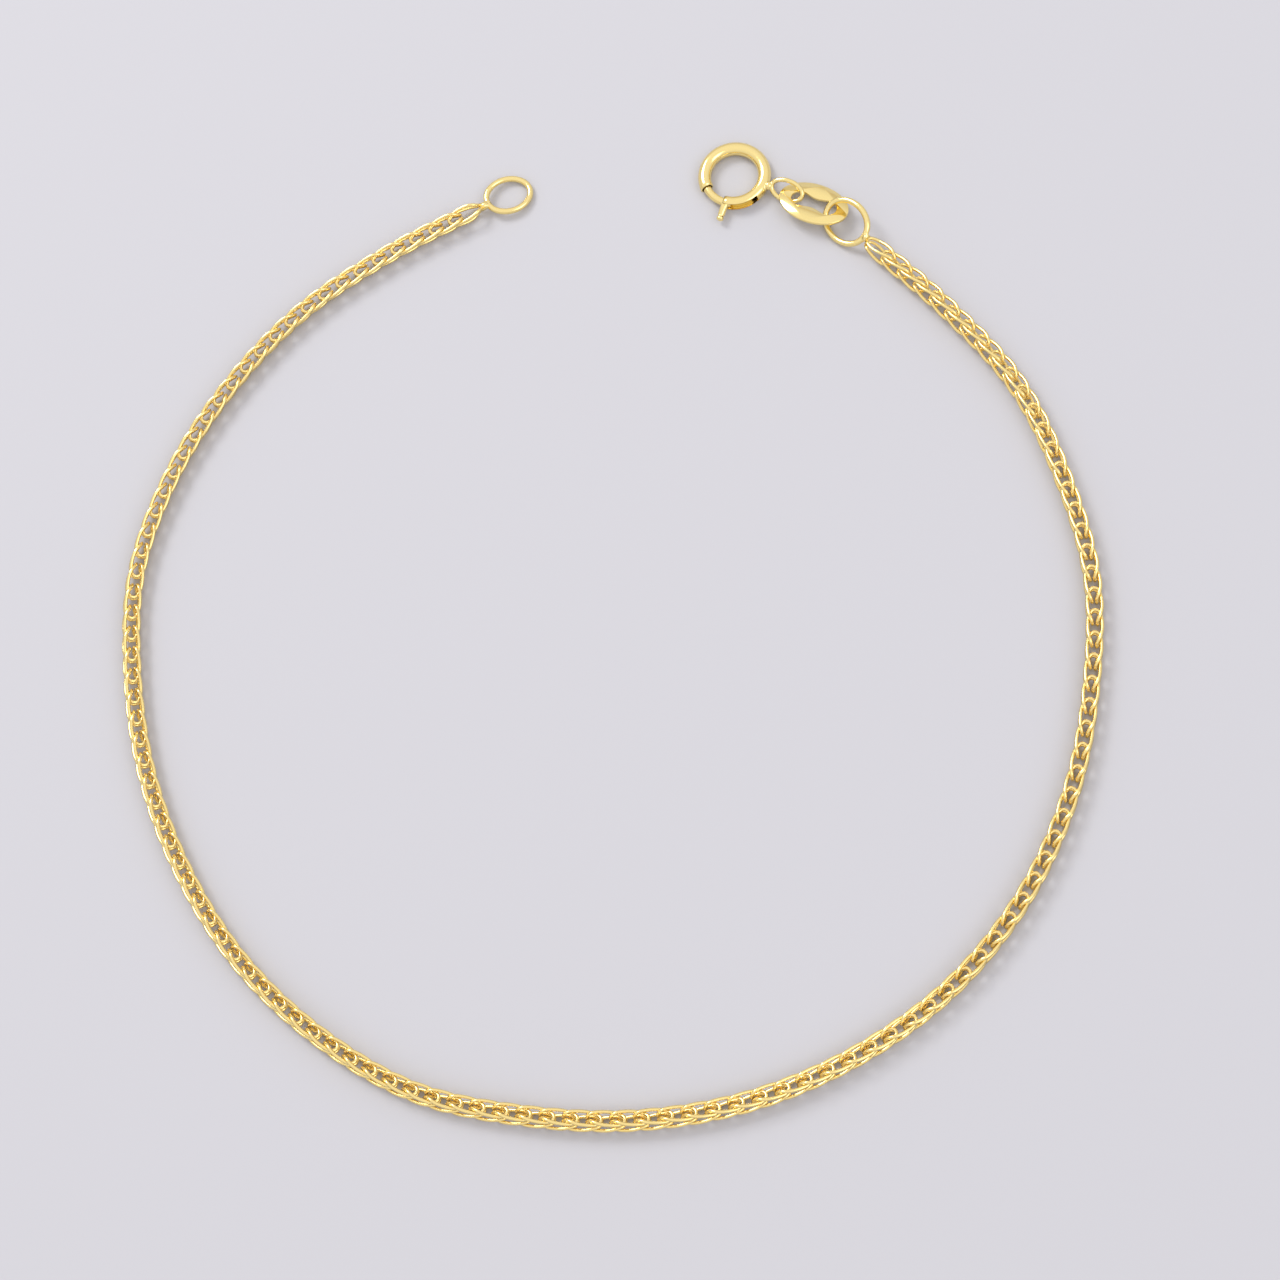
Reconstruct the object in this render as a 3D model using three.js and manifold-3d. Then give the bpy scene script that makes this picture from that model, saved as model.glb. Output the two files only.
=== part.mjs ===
// Fine open franco chain bracelet with oval end rings, a flat slotted tag and a spring ring clasp.
// Millimetres, Z up, lying on the surface z = 0 as an open, nearly round loop.
import * as THREE from 'three';
import { mergeVertices } from 'three/addons/utils/BufferGeometryUtils.js';
import Module from 'manifold-3d';

const wasm = await Module();
wasm.setup();

// The chain: its envelope across the flats and the route of its middle line over the surface.
const CHAIN_WIDTH = 1.4;
const CHAIN_SIDES = 8;
const CHAIN_STEPS = 72;
const ROUTE = [
  [-8.6, 29.6], [-15.0, 26.4], [-20.9, 22.4], [-25.7, 17.1], [-29.3, 11.0],
  [-31.4, 4.2], [-31.3, -2.9], [-29.9, -9.9], [-27.1, -16.5], [-23.1, -22.4],
  [-17.9, -27.2], [-11.7, -30.8], [-4.8, -32.4], [2.4, -32.8], [9.4, -31.7],
  [16.0, -29.0], [21.8, -24.9], [26.4, -19.4], [29.5, -13.0], [31.1, -6.1],
  [31.5, 1.1], [30.0, 8.0], [27.3, 14.6], [22.9, 20.3], [17.9, 25.4],
];

// The two soldered rings at the ends of the chain.
const RING_WIRE = 0.42;
const END_RING_LENGTH = 3.5;
const END_RING_WIDTH = 2.9;
const END_RING_TURN = 19;
const END_RING_TILT = 6.5;
const END_NECK = 0.6;
const TAG_RING_LENGTH = 3.85;
const TAG_RING_WIDTH = 3.1;
const TAG_RING_LEAN = 33.2;
const TAG_RING_TILT = 29.6;
const TAG_RING_MIDDLE_Z = 0.911;
const TAG_NECK = 0.32;
const NECK_DIAMETER = 0.56;
const NECK_CLEARANCE = 0.04;
const FLOOR_CLEARANCE = 0.02;

// The flat tag with its waisted slot.
const TAG_LENGTH = 4.9;
const TAG_WIDTH = 3.3;
const TAG_THICKNESS = 0.22;
const TAG_EDGE = 0.03;
const TAG_TURN = -24.6;
const TAG_TILT = -15;
const TAG_MIDDLE_Z = 0.734;
const TAG_FROM_RING = [-2.157, 1.561];
const SLOT_LENGTH = 3.15;
const SLOT_END = 1.2;
const SLOT_WAIST = 0.86;

// The wire eye soldered to the clasp, which passes through the slot of the tag.
const EYE_LENGTH = 2.6;
const EYE_WIDTH = 1.65;
const EYE_WIRE = 0.32;
const EYE_TURN = -26.4;
const EYE_LEAN = 61.2;
const EYE_TILT = 31;
const EYE_MIDDLE_Z = 0.747;
const EYE_FROM_TAG = [-1.8, 1.09];
const SOLDER_DIAMETER = 0.62;

// The hollow spring ring and its sliding bolt.
const CLASP_OUTSIDE = 5.0;
const CLASP_TUBE = 0.9;
const CLASP_BORE = 0.74;
const CLASP_FROM_EYE = [-3.57, 1.48];
const CLASP_STEP = 7;
const TUBE_SIDES = 16;
const GAP_START = 203.4;
const GAP_END = 248.8;
const SLIDE_END = 310.8;
const SLIDE_HEIGHT = 0.66;
const SLIDE_RISE = 0.02;
const BOLT_CLEARANCE = 0.09;
const BOLT_START = 196;
const BOLT_END = 262;
const NUB_AT = 252;
const NUB_DIAMETER = 0.48;
const NUB_OUT = 0.95;
const NUB_GROOVE = 0.05;

const GOLD = new THREE.MeshStandardMaterial({ color: 0xf3d48a, roughness: 0.18, metalness: 1.0 });
GOLD.name = 'yellow_gold';

const radians = (degrees) => degrees * Math.PI / 180;

class ArcCurve extends THREE.Curve {
  constructor(radius, start, end) {
    super();
    this.radius = radius;
    this.start = start;
    this.end = end;
  }

  getPoint(t, target = new THREE.Vector3()) {
    const angle = radians(this.start + (this.end - this.start) * t);
    return target.set(this.radius * Math.cos(angle), this.radius * Math.sin(angle), 0);
  }
}

class OvalCurve extends THREE.Curve {
  constructor(length, width) {
    super();
    this.length = length;
    this.width = width;
  }

  getPoint(t, target = new THREE.Vector3()) {
    const angle = 2 * Math.PI * t;
    return target.set(this.length / 2 * Math.cos(angle), this.width / 2 * Math.sin(angle), 0);
  }
}

function polygon(diameter, sides, Kind = THREE.Shape) {
  const outline = new Kind();
  for (let i = 0; i < sides; i += 1) {
    const angle = 2 * Math.PI * (i + 0.5) / sides;
    const x = diameter / 2 * Math.cos(angle);
    const y = diameter / 2 * Math.sin(angle);
    if (i === 0) {
      outline.moveTo(x, y);
    } else {
      outline.lineTo(x, y);
    }
  }
  outline.closePath();
  return outline;
}

function sweep(shape, curve, steps) {
  return new THREE.ExtrudeGeometry(shape, { extrudePath: curve, steps, bevelEnabled: false });
}

// Welds a geometry and turns its faces outward.
function welded(geometry) {
  const bare = geometry.clone();
  bare.deleteAttribute('normal');
  bare.deleteAttribute('uv');
  const joined = mergeVertices(bare, 1e-5);
  const place = joined.getAttribute('position');
  const corners = Array.from(joined.index.array);
  const a = new THREE.Vector3();
  const b = new THREE.Vector3();
  const c = new THREE.Vector3();
  let volume = 0;
  for (let i = 0; i < corners.length; i += 3) {
    a.fromBufferAttribute(place, corners[i]);
    b.fromBufferAttribute(place, corners[i + 1]);
    c.fromBufferAttribute(place, corners[i + 2]);
    volume += a.dot(b.cross(c));
  }
  if (volume < 0) {
    for (let i = 0; i < corners.length; i += 3) {
      const kept = corners[i];
      corners[i] = corners[i + 1];
      corners[i + 1] = kept;
    }
  }
  joined.setIndex(corners);
  return joined;
}

function solid(geometry) {
  const joined = welded(geometry);
  return new wasm.Manifold(new wasm.Mesh({
    numProp: 3,
    vertProperties: new Float32Array(joined.getAttribute('position').array),
    triVerts: new Uint32Array(joined.index.array),
  }));
}

function surface(body) {
  const mesh = body.getMesh();
  const geometry = new THREE.BufferGeometry();
  geometry.setAttribute('position', new THREE.BufferAttribute(new Float32Array(mesh.vertProperties), 3));
  geometry.setIndex(new THREE.BufferAttribute(new Uint32Array(mesh.triVerts), 1));
  return geometry;
}

// An oval wire ring, turned in plan, then tipped so that the side toward lean rises.
function wireRing(length, width, wire, turn, lean, tilt, centre, steps, sides) {
  const geometry = new THREE.TubeGeometry(
    new OvalCurve(length - wire, width - wire), steps, wire / 2, sides, true);
  geometry.applyMatrix4(new THREE.Matrix4().makeRotationZ(radians(turn)));
  const hinge = new THREE.Vector3(Math.sin(radians(lean)), -Math.cos(radians(lean)), 0);
  geometry.applyMatrix4(new THREE.Matrix4().makeRotationAxis(hinge, radians(tilt)));
  geometry.translate(centre.x, centre.y, centre.z);
  return geometry;
}

// A round rod between two points.
function rod(from, to, diameter, sides) {
  const span = to.clone().sub(from);
  const geometry = new THREE.CylinderGeometry(diameter / 2, diameter / 2, span.length(), sides);
  const up = new THREE.Vector3(0, 1, 0);
  const turn = new THREE.Quaternion().setFromUnitVectors(up, span.clone().normalize());
  geometry.applyMatrix4(new THREE.Matrix4().makeRotationFromQuaternion(turn));
  const middle = from.clone().add(to).multiplyScalar(0.5);
  geometry.translate(middle.x, middle.y, middle.z);
  return geometry;
}

// The chain envelope, flats up and down.
const route = new THREE.CatmullRomCurve3(
  ROUTE.map(([x, y]) => new THREE.Vector3(x, y, CHAIN_WIDTH / 2)), false, 'centripetal');
const acrossCorners = CHAIN_WIDTH / Math.cos(Math.PI / CHAIN_SIDES);
const chain = sweep(polygon(acrossCorners, CHAIN_SIDES), route, CHAIN_STEPS);

const freeEnd = route.getPoint(0);
const freeWay = route.getTangent(0).negate();
const claspEnd = route.getPoint(1);
const claspWay = route.getTangent(1);

// The ring at the free end rests on the surface at its far side, its neck meets the chain.
const endReach = (END_RING_LENGTH - RING_WIRE) / 2;
const endWay = Math.atan2(freeWay.y, freeWay.x) * 180 / Math.PI;
const endRise = endReach * Math.sin(radians(END_RING_TILT));
const endCentre = freeEnd.clone().addScaledVector(freeWay, END_NECK + endReach);
endCentre.z = RING_WIRE / 2 + FLOOR_CLEARANCE + endRise;
const endRing = wireRing(END_RING_LENGTH, END_RING_WIDTH, RING_WIRE, END_RING_TURN,
  endWay + 180, END_RING_TILT, endCentre, 40, 10);
const endNeckFrom = freeEnd.clone().addScaledVector(freeWay, NECK_CLEARANCE);
const endNeckTo = freeEnd.clone().addScaledVector(freeWay, END_NECK);
endNeckTo.z = endCentre.z + endRise;
endNeckFrom.z = endNeckTo.z;
const endNeck = rod(endNeckFrom, endNeckTo, NECK_DIAMETER, 12);
const endRingBody = solid(endRing).add(solid(endNeck));

// The ring at the clasp end, tipped up to pass through the slot of the tag.
const tagReach = (TAG_RING_LENGTH - RING_WIRE) / 2;
const tagWay = Math.atan2(claspWay.y, claspWay.x) * 180 / Math.PI;
const tagRingCentre = claspEnd.clone().addScaledVector(claspWay, TAG_NECK + tagReach);
tagRingCentre.z = TAG_RING_MIDDLE_Z;
const tagRing = wireRing(TAG_RING_LENGTH, TAG_RING_WIDTH, RING_WIRE, tagWay,
  TAG_RING_LEAN, TAG_RING_TILT, tagRingCentre, 40, 10);
const tagNeckFrom = claspEnd.clone().addScaledVector(claspWay, NECK_CLEARANCE);
const tagNeckTo = claspEnd.clone().addScaledVector(claspWay, TAG_NECK);
const towardChain = Math.cos(radians(tagWay + 180 - TAG_RING_LEAN));
tagNeckTo.z = TAG_RING_MIDDLE_Z + tagReach * towardChain * Math.sin(radians(TAG_RING_TILT));
tagNeckFrom.z = tagNeckTo.z;
const tagNeck = rod(tagNeckFrom, tagNeckTo, NECK_DIAMETER, 12);
const tagRingBody = solid(tagRing).add(solid(tagNeck));

// The tag.
const tagOutline = new THREE.Shape();
const TAG_POINTS = 64;
for (let i = 0; i < TAG_POINTS; i += 1) {
  const angle = 2 * Math.PI * i / TAG_POINTS;
  const x = (TAG_LENGTH / 2 - TAG_EDGE) * Math.cos(angle);
  const y = (TAG_WIDTH / 2 - TAG_EDGE) * Math.sin(angle);
  if (i === 0) {
    tagOutline.moveTo(x, y);
  } else {
    tagOutline.lineTo(x, y);
  }
}
tagOutline.closePath();

// Half the height of the slot at a place along it: round ends and a smooth waist.
const slotEndMiddle = SLOT_LENGTH / 2 - SLOT_END / 2;
function slotHalf(x) {
  const along = Math.abs(x);
  if (along > slotEndMiddle) {
    const past = along - slotEndMiddle;
    return Math.sqrt(Math.max(0, (SLOT_END / 2) ** 2 - past * past));
  }
  const share = (1 + Math.cos(Math.PI * along / slotEndMiddle)) / 2;
  return SLOT_END / 2 + (SLOT_WAIST / 2 - SLOT_END / 2) * share;
}
const SLOT_POINTS = 24;
const slot = new THREE.Path();
for (let side = 0; side < 2; side += 1) {
  const sign = side === 0 ? 1 : -1;
  for (let i = 0; i < SLOT_POINTS; i += 1) {
    const x = sign * SLOT_LENGTH / 2 * Math.cos(Math.PI * i / SLOT_POINTS);
    const y = sign * slotHalf(x);
    const out = 1 + TAG_EDGE / (SLOT_END / 2);
    if (side === 0 && i === 0) {
      slot.moveTo(x * out, y * out);
    } else {
      slot.lineTo(x * out, y * out);
    }
  }
}
slot.closePath();
tagOutline.holes.push(slot);
const tag = new THREE.ExtrudeGeometry(tagOutline, {
  depth: TAG_THICKNESS - 2 * TAG_EDGE,
  steps: 1,
  bevelEnabled: true,
  bevelThickness: TAG_EDGE,
  bevelSize: TAG_EDGE,
  bevelSegments: 1,
});
tag.translate(0, 0, TAG_EDGE - TAG_THICKNESS / 2);
tag.applyMatrix4(new THREE.Matrix4().makeRotationX(radians(TAG_TILT)));
tag.applyMatrix4(new THREE.Matrix4().makeRotationZ(radians(TAG_TURN)));
const tagX = tagRingCentre.x + TAG_FROM_RING[0];
const tagY = tagRingCentre.y + TAG_FROM_RING[1];
tag.translate(tagX, tagY, TAG_MIDDLE_Z);

// The clasp: a hollow tube bent into a ring with a gap, slotted for the nub, with its eye.
const eyeCentre = new THREE.Vector3(tagX + EYE_FROM_TAG[0], tagY + EYE_FROM_TAG[1], EYE_MIDDLE_Z);
const eye = wireRing(EYE_LENGTH, EYE_WIDTH, EYE_WIRE, EYE_TURN, EYE_LEAN, EYE_TILT, eyeCentre, 32, 10);
const claspCentre = new THREE.Vector3(
  eyeCentre.x + CLASP_FROM_EYE[0], eyeCentre.y + CLASP_FROM_EYE[1], CLASP_TUBE / 2);
const claspRadius = (CLASP_OUTSIDE - CLASP_TUBE) / 2;
const tubeOutline = polygon(CLASP_TUBE, TUBE_SIDES);
tubeOutline.holes.push(polygon(CLASP_BORE, TUBE_SIDES, THREE.Path));
const tubeSteps = Math.round((GAP_START + 360 - GAP_END) / CLASP_STEP);
const tube = sweep(tubeOutline, new ArcCurve(claspRadius, GAP_END, GAP_START + 360), tubeSteps);
tube.translate(claspCentre.x, claspCentre.y, claspCentre.z);

// The slide window runs through the outer wall only, open at the end of the tube.
const window = new THREE.Shape();
const windowIn = -CLASP_BORE / 4;
const windowOut = -CLASP_TUBE;
window.moveTo(-SLIDE_HEIGHT / 2 - SLIDE_RISE, windowOut);
window.lineTo(SLIDE_HEIGHT / 2 - SLIDE_RISE, windowOut);
window.lineTo(SLIDE_HEIGHT / 2 - SLIDE_RISE, windowIn);
window.lineTo(-SLIDE_HEIGHT / 2 - SLIDE_RISE, windowIn);
window.closePath();
const windowStart = GAP_END - CLASP_STEP;
const windowCut = sweep(window, new ArcCurve(claspRadius, windowStart, SLIDE_END), 10);
windowCut.translate(claspCentre.x, claspCentre.y, claspCentre.z);
const solder = new THREE.SphereGeometry(SOLDER_DIAMETER / 2, 14, 10);
const towardEye = new THREE.Vector3(CLASP_FROM_EYE[0], CLASP_FROM_EYE[1], 0).normalize().negate();
const solderAt = claspCentre.clone().addScaledVector(towardEye, CLASP_OUTSIDE / 2 + 0.02);
solderAt.z = (CLASP_TUBE / 2 + EYE_MIDDLE_Z) / 2;
solder.translate(solderAt.x, solderAt.y, solderAt.z);
const boreFill = sweep(polygon(CLASP_BORE, TUBE_SIDES),
  new ArcCurve(claspRadius, GAP_END, GAP_START + 360), tubeSteps);
boreFill.translate(claspCentre.x, claspCentre.y, claspCentre.z);
const eyeBody = solid(eye).add(solid(solder)).subtract(solid(boreFill));
const claspBody = solid(tube).subtract(solid(windowCut)).add(eyeBody);

// The trigger: a bolt that bridges the gap and slides in the bore, with its thumb nub.
const boltDiameter = CLASP_BORE - 2 * BOLT_CLEARANCE;
const boltSteps = Math.round((BOLT_END - BOLT_START) / (CLASP_STEP - 1));
const bolt = sweep(polygon(boltDiameter, TUBE_SIDES),
  new ArcCurve(claspRadius, BOLT_START, BOLT_END), boltSteps);
const nubLength = CLASP_TUBE / 2 + NUB_OUT;
const nubRadius = NUB_DIAMETER / 2;
const nubProfile = [
  new THREE.Vector2(0, 0),
  new THREE.Vector2(nubRadius, 0),
  new THREE.Vector2(nubRadius, nubLength - 0.42),
  new THREE.Vector2(nubRadius - NUB_GROOVE, nubLength - 0.36),
  new THREE.Vector2(nubRadius - NUB_GROOVE, nubLength - 0.28),
  new THREE.Vector2(nubRadius, nubLength - 0.22),
  new THREE.Vector2(nubRadius, nubLength - 0.08),
  new THREE.Vector2(nubRadius * 0.6, nubLength - 0.015),
  new THREE.Vector2(0, nubLength),
];
const nub = new THREE.LatheGeometry(nubProfile, 14);
nub.applyMatrix4(new THREE.Matrix4().makeRotationZ(radians(NUB_AT - 90)));
nub.translate(claspRadius * Math.cos(radians(NUB_AT)), claspRadius * Math.sin(radians(NUB_AT)), SLIDE_RISE);
const triggerBody = solid(bolt).add(solid(nub));
const trigger = surface(triggerBody);
trigger.translate(claspCentre.x, claspCentre.y, claspCentre.z);

const group = new THREE.Group();
function addPiece(name, geometry) {
  const finished = geometry;
  finished.computeVertexNormals();
  const mesh = new THREE.Mesh(finished, GOLD);
  mesh.name = name;
  group.add(mesh);
}
addPiece('chain', welded(chain));
addPiece('end_ring', surface(endRingBody));
addPiece('tag_ring', surface(tagRingBody));
addPiece('tag', welded(tag));
addPiece('clasp_ring', surface(claspBody));
addPiece('trigger', trigger);

// The origin goes to the middle of the bottom of the whole.
const box = new THREE.Box3().setFromObject(group);
const middle = box.getCenter(new THREE.Vector3());
for (const mesh of group.children) {
  mesh.geometry.translate(-middle.x, -middle.y, -box.min.z);
}

export default group;
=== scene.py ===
import bpy
import math
import bmesh
import numpy as np
from mathutils import Matrix, Vector


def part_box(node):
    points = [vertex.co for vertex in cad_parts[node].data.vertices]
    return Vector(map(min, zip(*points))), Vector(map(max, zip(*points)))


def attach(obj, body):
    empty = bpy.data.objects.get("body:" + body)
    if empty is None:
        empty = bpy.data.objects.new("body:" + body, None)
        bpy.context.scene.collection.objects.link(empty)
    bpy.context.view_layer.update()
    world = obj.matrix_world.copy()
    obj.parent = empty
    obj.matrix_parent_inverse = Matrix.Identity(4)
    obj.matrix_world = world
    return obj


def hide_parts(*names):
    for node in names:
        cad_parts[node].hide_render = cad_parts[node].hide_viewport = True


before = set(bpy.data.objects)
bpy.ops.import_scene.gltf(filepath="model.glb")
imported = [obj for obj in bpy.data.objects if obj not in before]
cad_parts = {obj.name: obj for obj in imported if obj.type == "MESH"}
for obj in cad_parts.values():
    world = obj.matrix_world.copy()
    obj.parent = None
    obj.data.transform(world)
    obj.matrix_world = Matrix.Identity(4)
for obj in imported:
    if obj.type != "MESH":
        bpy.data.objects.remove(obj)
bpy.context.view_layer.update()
scene = bpy.context.scene

# Lengths of the chain and its links are millimetres; all others are metres, and angles degrees.
MM = 0.001
TINY = 1e-6

# The middle line of the chain over the surface, as in the part: x, y.
ROUTE = [
    (-8.6, 29.6), (-15.0, 26.4), (-20.9, 22.4), (-25.7, 17.1), (-29.3, 11.0),
    (-31.4, 4.2), (-31.3, -2.9), (-29.9, -9.9), (-27.1, -16.5), (-23.1, -22.4),
    (-17.9, -27.2), (-11.7, -30.8), (-4.8, -32.4), (2.4, -32.8), (9.4, -31.7),
    (16.0, -29.0), (21.8, -24.9), (26.4, -19.4), (29.5, -13.0), (31.1, -6.1),
    (31.5, 1.1), (30.0, 8.0), (27.3, 14.6), (22.9, 20.3), (17.9, 25.4),
]
STEPS_PER_SPAN = 40
ROUTE_POINTS = 2400
# The route runs straight on by this much at both ends, into the solder necks.
RUN_ON = 1.0
# How far the end links run into the solder necks of the two rings.
SOLDER_REACH = 0.17
FLOOR_GAP = 0.01

# Slow turn of the chain about its own line: share of its length, turn.
TURNS = [
    (0.0, -14), (0.12, -20), (0.3, -24), (0.42, -14), (0.54, -22), (0.62, -12),
    (0.68, 0), (0.88, 2), (0.93, 26), (0.965, 40), (1.0, 14),
]
# Route points over which the turn is averaged, an odd number.
TURN_WINDOW = 241

# The link: round wire, one ring bent into two loops that lie forward of its back. The loops
# of each link pass through the link ahead, and the two sides stand a little apart in length.
WIRE = 0.24
WIRE_SIDES = 6
PITCH = 1.47
CHAIN_RADIUS = 0.71
WIRE_GAP = 0.01
HALF_POINTS = 32
# Chosen points of one side: along the chain, across it, up.
LINK_KEYS = [
    (0.00, 0.15, 0.00), (0.10, 0.15, 0.22), (0.28, 0.21, 0.42),
    (0.60, 0.48, 0.40), (1.00, 0.48, 0.40), (1.45, 0.43, 0.34),
    (1.85, 0.34, 0.27), (2.42, 0.17, 0.24), (2.50, 0.00, 0.24),
]
# How far the two sides stand apart in length, and each point's share of it.
SKEW = -0.15
KEY_SHARES = [0, 0.285, 0.9, 0.7, 0.4, 0.1, 0, 0, 0]

# How the wire settles: rounds, the greatest move in one round, and what acts in each.
SETTLE_ROUNDS = 700
MAX_MOVE = 0.02
NEIGHBOURS = (-2, -1, 1, 2)
# Points of one link further apart along the wire than this also keep clear of each other.
OWN_REACH = 0.5
HOME_PULL = 0.006
CLEAR_PUSH = 0.5
BEND_HOLD = 0.05
LENGTH_HOLD = 0.35
RADIUS_HOLD = 0.6

# Corners of the CAD nodes nearer than this are joined, and edges sharper than these stay sharp.
WELD = 0.4e-6
RING_CREASE = 50
TAG_CREASE = 30
CLASP_CREASE = 40

FLOOR_SIZE = 3.0
FLOOR_LEVEL = -0.00001

# The sky's colours from the horizon up: position, colour.
SKY_LOW = (0.50, (0.62, 0.56, 0.50, 1))
SKY_MIDDLE = (0.72, (0.88, 0.87, 0.91, 1))
SKY_TOP = (0.95, (0.98, 0.97, 1.0, 1))
SKY_STRENGTH = 0.98

SENSOR_WIDTH = 36
HALF_VIEW = 13.5
CAMERA_PLACE = Vector((0.022965, -0.053767, 0.163708))
CAMERA_RIGHT = Vector((0.99221, 0.0, -0.12458))
CAMERA_BACK = Vector((0.11882, -0.30071, 0.94629))


def both_loops(half):
    """The whole closed wire from one half, which repeats turned half round."""
    other = half.copy()
    other[:, 1:] *= -1
    return np.vstack([half, other])


def evenly(line, count):
    """Points at equal steps along a line, and how far along it each one is."""
    run = np.r_[0, np.cumsum(np.linalg.norm(np.diff(line, axis=0), axis=1))]
    at = np.linspace(0, run[-1], count)
    return np.stack([np.interp(at, run, column) for column in line.T], 1), at


def first_half():
    """One loop of the wire through its key points, evenly spaced."""
    key = np.array(LINK_KEYS)
    share = np.array(KEY_SHARES)
    back = key[::-1][1:].copy()
    back[:, 1] *= -1
    key[:, 0] += SKEW * share
    back[:, 0] -= SKEW * share[::-1][1:]
    return evenly(np.vstack([key, back]), HALF_POINTS + 1)[0][:-1]


def clear_push(p, q, counted=True):
    """Push on each point p away from the points q of a wire that it stands too near to."""
    away = p[:, None] - q[None]
    gap = np.linalg.norm(away, axis=2)
    lack = np.where(counted, np.clip(WIRE + WIRE_GAP - gap, 0, None), 0)
    weight = lack / np.maximum(gap, TINY)
    return CLEAR_PUSH * (weight[:, :, None] * away).sum(1)


def settle():
    """Lets the springy wire come to rest beside its neighbours, touching none."""
    p = both_loops(first_half())
    home = p.copy()
    count = len(p)
    step = np.linalg.norm(np.roll(p, -1, 0) - p, axis=1).mean()
    order = np.arange(count)
    apart = np.abs(order[:, None] - order[None])
    apart = np.minimum(apart, count - apart)
    far = apart * step > OWN_REACH
    for _ in range(SETTLE_ROUNDS):
        push = HOME_PULL * (home - p)
        for n in NEIGHBOURS:
            q = p + np.array([n * PITCH, 0, 0])
            q = np.vstack([q, 0.5 * (q + np.roll(q, -1, 0))])
            push += clear_push(p, q)
        push += clear_push(p, p, far)
        bend = np.roll(p, 1, 0) + np.roll(p, -1, 0) - 2 * p
        push -= BEND_HOLD * (np.roll(bend, 1, 0) + np.roll(bend, -1, 0) - 2 * bend)
        edge = np.roll(p, -1, 0) - p
        length = np.linalg.norm(edge, axis=1, keepdims=True)
        pull = (length - step) / length * edge
        push += LENGTH_HOLD * (pull - np.roll(pull, 1, 0))
        reach = np.hypot(p[:, 1], p[:, 2])
        over = np.clip(reach - (CHAIN_RADIUS - WIRE / 2), 0, None) / np.maximum(reach, TINY)
        push[:, 1] -= RADIUS_HOLD * over * p[:, 1]
        push[:, 2] -= RADIUS_HOLD * over * p[:, 2]
        p = p + np.clip(push, -MAX_MOVE, MAX_MOVE)
        half = p[:HALF_POINTS]
        twin = p[HALF_POINTS:].copy()
        twin[:, 1:] *= -1
        p = both_loops(0.5 * (half + twin))
    return p


def wire_skin(line):
    """Round skin on a closed line: corners and the four-sided faces between them."""
    count = len(line)
    ahead = np.roll(line, -1, 0) - np.roll(line, 1, 0)
    ahead /= np.linalg.norm(ahead, axis=1, keepdims=True)
    # Any direction that does not lie along the wire starts the first section.
    side = np.cross(ahead[0], [0.3, 0.2, 1.0])
    sides_at = []
    for i in range(count):
        side = side - ahead[i] * side.dot(ahead[i])
        side = side / np.linalg.norm(side)
        sides_at.append(side)
    last = sides_at[-1] - ahead[0] * sides_at[-1].dot(ahead[0])
    last /= np.linalg.norm(last)
    twist = math.atan2(ahead[0].dot(np.cross(last, sides_at[0])), last.dot(sides_at[0]))
    corners = []
    for i in range(count):
        u = sides_at[i]
        v = np.cross(ahead[i], u)
        for k in range(WIRE_SIDES):
            a = 2 * math.pi * k / WIRE_SIDES + twist * i / count
            corners.append(line[i] + (u * math.cos(a) + v * math.sin(a)) * WIRE / 2)
    faces = []
    for i in range(count):
        here = i * WIRE_SIDES
        there = (i + 1) % count * WIRE_SIDES
        for k in range(WIRE_SIDES):
            m = (k + 1) % WIRE_SIDES
            faces.append((here + k, there + k, there + m, here + m))
    return np.array(corners), faces


def smooth_route():
    """Dense points of the middle line through its chosen points, evenly spaced."""
    pts = [np.array(p, float) for p in ROUTE]
    pts = [2 * pts[0] - pts[1]] + pts + [2 * pts[-1] - pts[-2]]
    line = []
    for i in range(1, len(pts) - 2):
        a, b, c, d = pts[i - 1:i + 3]
        t0 = np.linalg.norm(b - a) ** 0.5
        t1 = np.linalg.norm(c - b) ** 0.5
        t2 = np.linalg.norm(d - c) ** 0.5
        m1 = ((b - a) / t0 - (c - a) / (t0 + t1) + (c - b) / t1) * t1
        m2 = ((c - b) / t1 - (d - b) / (t1 + t2) + (d - c) / t2) * t1
        for t in np.linspace(0, 1, STEPS_PER_SPAN, endpoint=False):
            line.append((2 * t**3 - 3 * t**2 + 1) * b + (t**3 - 2 * t**2 + t) * m1
                        + (3 * t**2 - 2 * t**3) * c + (t**3 - t**2) * m2)
    line.append(pts[-2])
    return evenly(np.array(line), ROUTE_POINTS)


def add_object(name, data):
    """A new object in the scene that carries this mesh, lamp or camera."""
    added = bpy.data.objects.new(name, data)
    scene.collection.objects.link(added)
    return added


def make_mesh(name, corners, faces, material):
    mesh = bpy.data.meshes.new(name)
    mesh.from_pydata([tuple(c) for c in corners], [], faces)
    mesh.polygons.foreach_set("use_smooth", [True] * len(mesh.polygons))
    mesh.materials.append(material)
    mesh.update()
    return add_object(name, mesh)


def new_material(name, colour, roughness):
    material = bpy.data.materials.new(name)
    material.use_nodes = True
    shader = material.node_tree.nodes["Principled BSDF"]
    shader.inputs["Base Color"].default_value = (*colour, 1)
    shader.inputs["Roughness"].default_value = roughness
    return material, shader


def gold_material(name, colour, roughness):
    material, shader = new_material(name, colour, roughness)
    shader.inputs["Metallic"].default_value = 1.0
    return material


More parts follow.
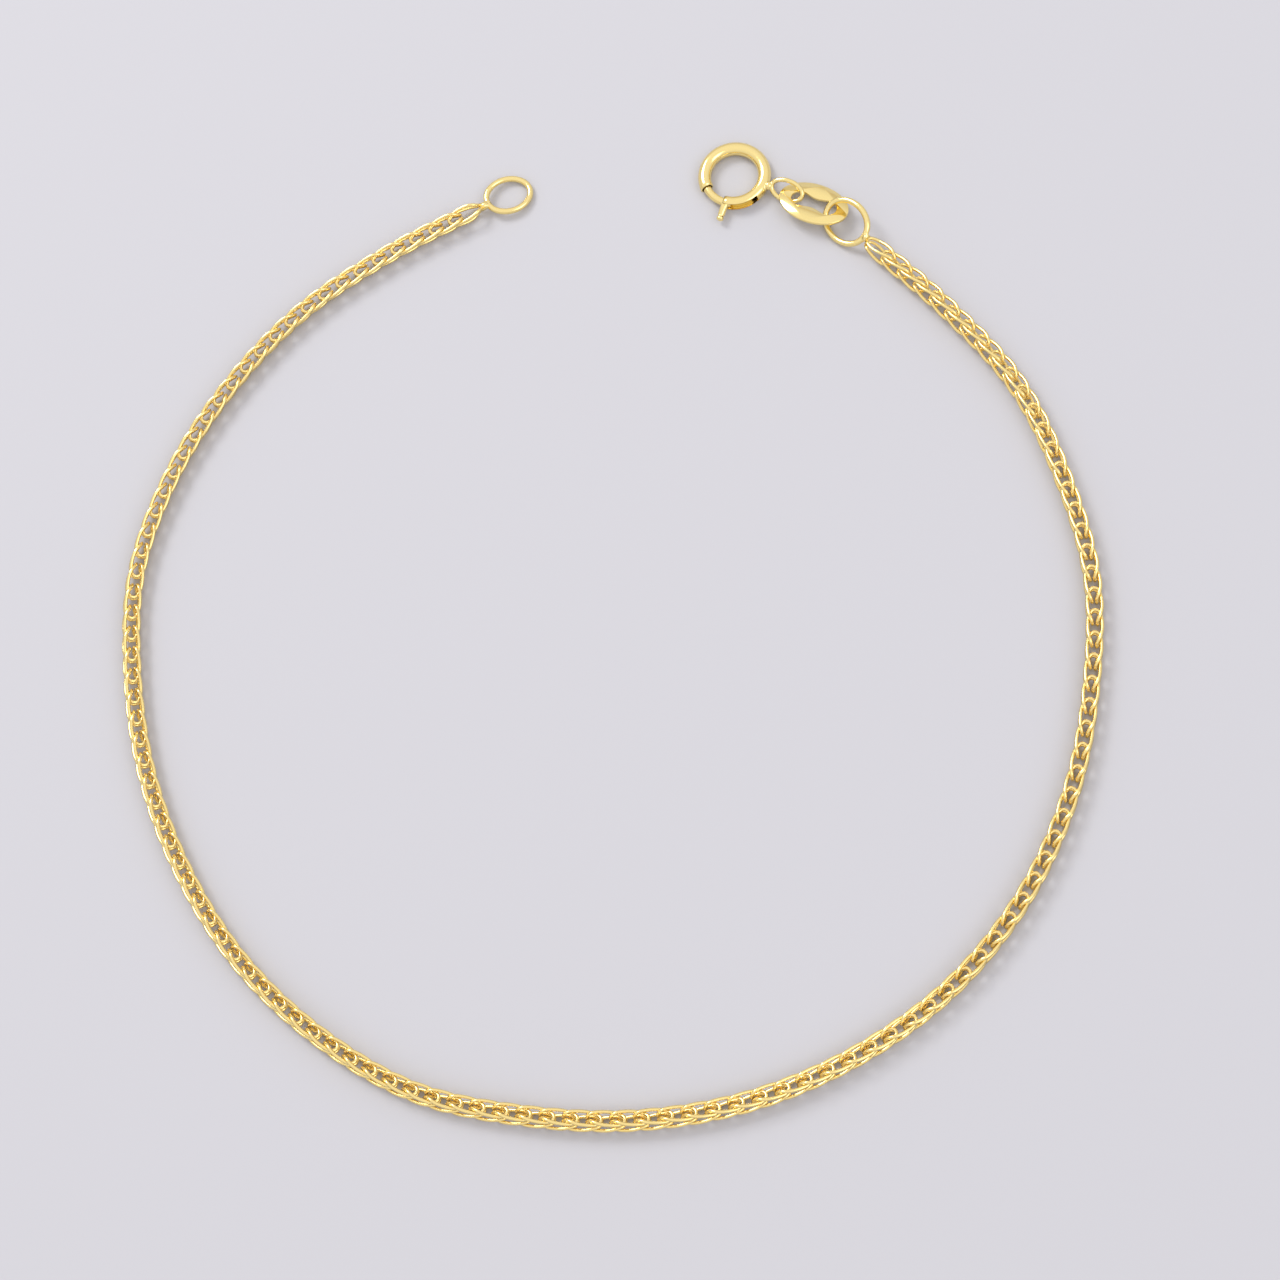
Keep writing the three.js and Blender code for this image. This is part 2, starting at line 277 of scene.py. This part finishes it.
def smooth_twin(node, name, material, crease):
    """The same shape as a CAD node, with its corners joined and shaded smooth."""
    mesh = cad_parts[node].data.copy()
    mesh.name = name
    work = bmesh.new()
    work.from_mesh(mesh)
    bmesh.ops.remove_doubles(work, verts=work.verts, dist=WELD)
    work.to_mesh(mesh)
    work.free()
    if mesh.has_custom_normals:
        mesh.normals_split_custom_set([(0, 0, 0)] * len(mesh.loops))
    mesh.polygons.foreach_set("use_smooth", [True] * len(mesh.polygons))
    mesh.set_sharp_from_angle(angle=math.radians(crease))
    mesh.materials.clear()
    mesh.materials.append(material)
    mesh.update()
    piece = add_object(name, mesh)
    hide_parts(node)
    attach(piece, "trigger" if node == "trigger" else "bracelet")


def soft_light(name, place, size, power):
    """A square lamp aimed at the middle of the scene."""
    data = bpy.data.lights.new(name, "AREA")
    data.energy = power
    data.shape = "SQUARE"
    data.size = size
    lamp = add_object(name, data)
    lamp.location = place
    lamp.rotation_euler = (-Vector(place)).to_track_quat("-Z", "Y").to_euler()


gold = gold_material("polished_gold", (1.0, 0.80, 0.33), 0.13)
link_gold = gold_material("link_gold", (1.0, 0.78, 0.31), 0.17)

# The chain: every link mapped along the route, with its slow turn, resting on the surface.
link_line = settle()
link_skin, link_faces = wire_skin(link_line)
route, along = smooth_route()
tangent = np.gradient(route, axis=0)
tangent /= np.linalg.norm(tangent, axis=1, keepdims=True)
chain_lo, chain_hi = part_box("chain")
shift_x = (chain_lo.x + chain_hi.x) / 2 / MM - (route[:, 0].min() + route[:, 0].max()) / 2
shift_y = chain_lo.y / MM + CHAIN_RADIUS - route[:, 1].min()
turn_at = np.interp(along / along[-1], [t[0] for t in TURNS], [t[1] for t in TURNS])
window = np.hanning(TURN_WINDOW)
turn_at = np.pad(turn_at, TURN_WINDOW // 2, mode="edge")
turn_at = np.radians(np.convolve(turn_at, window / window.sum(), mode="valid"))
lowest = np.array([(link_line[:, 1] * math.sin(a) + link_line[:, 2] * math.cos(a)).min()
                   for a in turn_at])
height_at = WIRE / 2 + FLOOR_GAP - lowest

route = np.vstack([route[0] - RUN_ON * tangent[0], route, route[-1] + RUN_ON * tangent[-1]])
tangent = np.vstack([tangent[:1], tangent, tangent[-1:]])
turn_at = np.r_[turn_at[0], turn_at, turn_at[-1]]
height_at = np.r_[height_at[0], height_at, height_at[-1]]
chain_length = along[-1]
along = np.r_[-RUN_ON, along, chain_length + RUN_ON]
first = WIRE / 2 - link_line[:, 0].min() - SOLDER_REACH
last = chain_length - WIRE / 2 - link_line[:, 0].max() + SOLDER_REACH
links = 1 + int(round((last - first) / PITCH))
corners = []
faces = []
for n in range(links):
    start = first + (last - first) * n / (links - 1)
    s = start + link_skin[:, 0]
    x, y = (np.interp(s, along, column) for column in route.T)
    tx, ty = (np.interp(s, along, column) for column in tangent.T)
    a = np.interp(s, along, turn_at)
    h = np.interp(s, along, height_at)
    left = link_skin[:, 1] * np.cos(a) - link_skin[:, 2] * np.sin(a)
    up = link_skin[:, 1] * np.sin(a) + link_skin[:, 2] * np.cos(a)
    base = len(corners) * len(link_skin)
    corners.append(np.stack([x - ty * left + shift_x, y + tx * left + shift_y, h + up], 1) * MM)
    faces += [tuple(i + base for i in f) for f in link_faces]
chain = make_mesh("chain_links", np.vstack(corners), faces, link_gold)
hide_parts("chain")
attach(chain, "bracelet")

smooth_twin("end_ring", "end_ring_smooth", gold, RING_CREASE)
smooth_twin("tag_ring", "tag_ring_smooth", gold, RING_CREASE)
smooth_twin("tag", "tag_smooth", gold, TAG_CREASE)
smooth_twin("clasp_ring", "clasp_ring_smooth", gold, CLASP_CREASE)
smooth_twin("trigger", "trigger_smooth", gold, CLASP_CREASE)

# The surface it lies on.
bpy.ops.mesh.primitive_plane_add(size=FLOOR_SIZE, location=(0, 0, FLOOR_LEVEL))
floor = bpy.context.object
floor.name = "floor"
floor_material, floor_shader = new_material("pale_surface", (0.545, 0.54, 0.565), 0.85)
floor_shader.inputs["Specular IOR Level"].default_value = 0.2
floor.data.materials.append(floor_material)

# A sky that is darker and warmer toward the horizon, and two soft lamps.
world = bpy.data.worlds.new("studio")
scene.world = world
world.use_nodes = True
nodes = world.node_tree.nodes
wires = world.node_tree.links
place = nodes.new("ShaderNodeTexCoord")
split = nodes.new("ShaderNodeSeparateXYZ")
ramp = nodes.new("ShaderNodeValToRGB")
stops = ramp.color_ramp.elements
stops[0].position, stops[0].color = SKY_LOW
stops[1].position, stops[1].color = SKY_TOP
stops.new(SKY_MIDDLE[0]).color = SKY_MIDDLE[1]
# The height of a direction, from straight down to straight up, becomes 0 to 1.
scale = nodes.new("ShaderNodeMath")
scale.operation = "MULTIPLY_ADD"
scale.inputs[1].default_value = 0.5
scale.inputs[2].default_value = 0.5
wires.new(place.outputs["Generated"], split.inputs[0])
wires.new(split.outputs["Z"], scale.inputs[0])
wires.new(scale.outputs[0], ramp.inputs[0])
wires.new(ramp.outputs["Color"], nodes["Background"].inputs["Color"])
nodes["Background"].inputs["Strength"].default_value = SKY_STRENGTH

soft_light("key", place=(-0.28, 0.30, 0.42), size=0.22, power=1.5)
soft_light("fill", place=(0.35, -0.15, 0.45), size=0.30, power=0.5)

# The camera, from the photograph's own angle.
data = bpy.data.cameras.new("camera")
data.sensor_width = SENSOR_WIDTH
data.lens = SENSOR_WIDTH / 2 / math.tan(math.radians(HALF_VIEW))
data.clip_start = 0.01
data.clip_end = 10
camera = add_object("camera", data)
upward = CAMERA_BACK.cross(CAMERA_RIGHT)
camera.matrix_world = Matrix((
    (CAMERA_RIGHT.x, upward.x, CAMERA_BACK.x, CAMERA_PLACE.x),
    (CAMERA_RIGHT.y, upward.y, CAMERA_BACK.y, CAMERA_PLACE.y),
    (CAMERA_RIGHT.z, upward.z, CAMERA_BACK.z, CAMERA_PLACE.z),
    (0, 0, 0, 1)))
scene.camera = camera

scene.view_settings.view_transform = "Standard"
